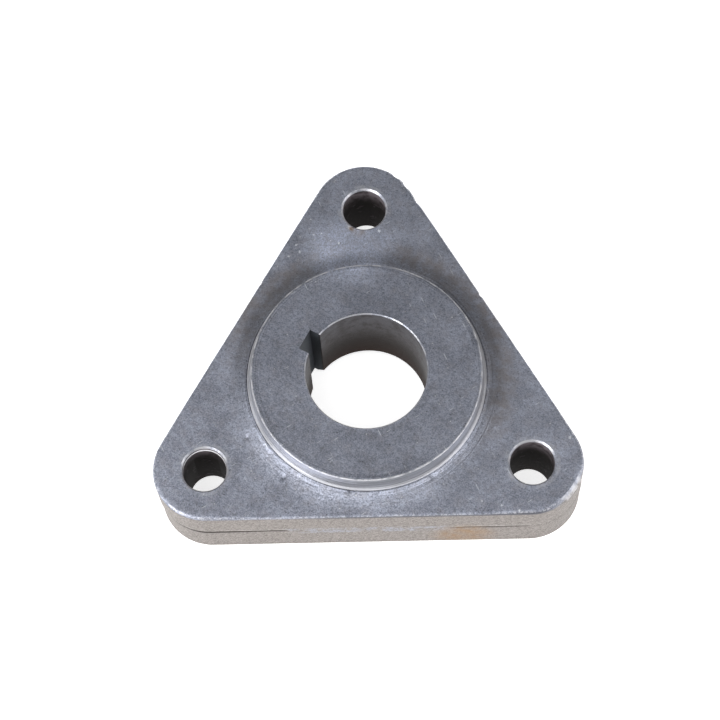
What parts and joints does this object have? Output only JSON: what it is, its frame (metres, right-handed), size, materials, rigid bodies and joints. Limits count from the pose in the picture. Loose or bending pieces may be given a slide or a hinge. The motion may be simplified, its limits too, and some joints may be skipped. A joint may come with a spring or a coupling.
{
  "type": "mower blade adapter",
  "caption": "Cast triangular blade adapter for a mower spindle, with a low round boss, a keyed bore through its middle and a plain bolt hole in each rounded corner.",
  "frame": {"origin": "on the bore axis, in the flat back face that seats on the blade", "axes": "+Z along the bore axis towards the boss, +X towards the first bolt hole, the keyway on -X"},
  "size_m": [0.0805, 0.0894, 0.0221],
  "materials": {
    "cast_iron": "bare cast iron, fine grained and lightly worn bright on its edges"
  },
  "bodies": {
    "root": {"blade_adapter": "cast_iron"}
  },
  "joints": []
}
